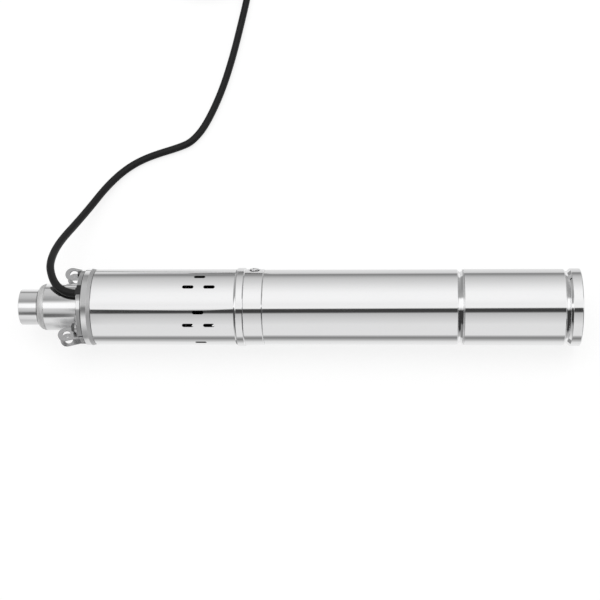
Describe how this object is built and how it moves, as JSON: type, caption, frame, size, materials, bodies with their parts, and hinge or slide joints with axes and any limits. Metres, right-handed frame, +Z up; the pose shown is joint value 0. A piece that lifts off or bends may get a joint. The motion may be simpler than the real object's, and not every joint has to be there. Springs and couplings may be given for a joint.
{
  "type": "borehole submersible pump",
  "caption": "Slim stainless borehole pump: screwed outlet head with lifting ears, helical rotor pump, slotted strainer, oil-filled seal section, canned motor and a bare-ended rubber cable.",
  "frame": {"origin": "centre of the outlet's mouth, on the pump's axis", "axes": "+X along the pump's axis from the outlet mouth to the end cap; +Z up with the pump lying on its side and the cable's exit on top; +Y the side on which the cable is laid out"},
  "size_m": [0.561, 0.5773, 0.0788],
  "materials": {
    "stainless": "polished stainless",
    "satin_stainless": "satin",
    "bearing_steel": "polished",
    "core_steel": "matte",
    "cast_aluminium": "cast",
    "chromed_rotor": "hard chrome",
    "winding": "varnished copper",
    "black_rubber": "matte",
    "cable_jacket": "satin",
    "seal_ceramic": "ceramic",
    "seal_carbon": "carbon",
    "capacitor_case": "gloss",
    "brown_wire": "gloss",
    "blue_wire": "gloss",
    "green_wire": "gloss"
  },
  "bodies": {
    "casing": {"discharge_head": "stainless", "lifting_ear_1": "stainless", "lifting_ear_2": "stainless", "lifting_ear_3": "stainless", "lifting_ear_4": "stainless", "head_washers": "stainless", "head_screws": "stainless", "cable_grommet": "black_rubber", "head_gasket": "black_rubber", "head_ring": "stainless", "pump_tube": "stainless", "valve_seat": "satin_stainless", "valve_guide": "satin_stainless", "valve_spring": "satin_stainless", "stator_sleeve": "satin_stainless", "stator_rubber": "black_rubber", "seal_housing": "stainless", "plug_washer": "black_rubber", "oil_plug": "stainless", "seal_seat": "seal_ceramic", "cable_gland": "black_rubber", "inner_cable": "cable_jacket", "upper_bearing_seat": "cast_aluminium", "upper_outer_race": "bearing_steel", "lower_outer_race": "bearing_steel", "stator_core": "core_steel", "stator_windings": "winding", "motor_tube": "stainless", "lower_bearing_seat": "stainless", "retaining_ring": "bearing_steel", "lower_tube": "stainless", "capacitor_clamp": "cast_aluminium", "capacitor": "capacitor_case", "end_cap": "stainless", "cap_oring": "black_rubber", "supply_cable": "cable_jacket", "supply_cable_coil": "cable_jacket", "supply_cable_tail": "cable_jacket", "core_live": "brown_wire", "core_neutral": "blue_wire", "core_earth": "green_wire"},
    "motor_rotor": {"motor_shaft": "satin_stainless", "rotor_core": "core_steel", "rotor_end_rings": "cast_aluminium", "upper_inner_race": "bearing_steel", "lower_inner_race": "bearing_steel", "drive_coupling": "satin_stainless", "sand_slinger": "black_rubber", "seal_ring": "seal_carbon", "seal_bellows": "black_rubber", "seal_collar": "satin_stainless"},
    "upper_ball_set": {"upper_cage": "bearing_steel", "upper_balls": "bearing_steel"},
    "lower_ball_set": {"lower_cage": "bearing_steel", "lower_balls": "bearing_steel"},
    "drive_shaft": {"flexible_shaft": "satin_stainless"},
    "pump_rotor": {"screw_rotor": "chromed_rotor"},
    "check_valve": {"valve_poppet": "satin_stainless"}
  },
  "joints": [
    {"name": "shaft_spin", "type": "hinge", "parent": "casing", "child": "motor_rotor", "pos_m": [0.345, 0, 0], "axis": [1, 0, 0], "continuous": true},
    {"name": "rotor_orbit", "type": "hinge", "parent": "casing", "child": "drive_shaft", "pos_m": [0.182, 0, 0], "axis": [1, 0, 0], "continuous": true},
    {"name": "rotor_roll", "type": "hinge", "parent": "drive_shaft", "child": "pump_rotor", "pos_m": [0.13, 0.002, 0], "axis": [1, 0, 0], "continuous": true},
    {"name": "upper_balls_spin", "type": "hinge", "parent": "casing", "child": "upper_ball_set", "pos_m": [0.261, 0, 0], "axis": [1, 0, 0], "continuous": true},
    {"name": "lower_balls_spin", "type": "hinge", "parent": "casing", "child": "lower_ball_set", "pos_m": [0.4405, 0, 0], "axis": [1, 0, 0], "continuous": true},
    {"name": "valve_lift", "type": "slide", "parent": "casing", "child": "check_valve", "axis": [-1, 0, 0], "range_m": [0, 0.008], "stiffness_N_per_m": 200, "springref_m": -0.006, "deforming": ["valve_spring"]}
  ],
  "couplings": [
    {"joint": "rotor_orbit", "follows": "shaft_spin", "ratio": -1},
    {"joint": "rotor_roll", "follows": "shaft_spin", "ratio": 2},
    {"joint": "upper_balls_spin", "follows": "shaft_spin", "ratio": 0.373},
    {"joint": "lower_balls_spin", "follows": "shaft_spin", "ratio": 0.3603}
  ]
}
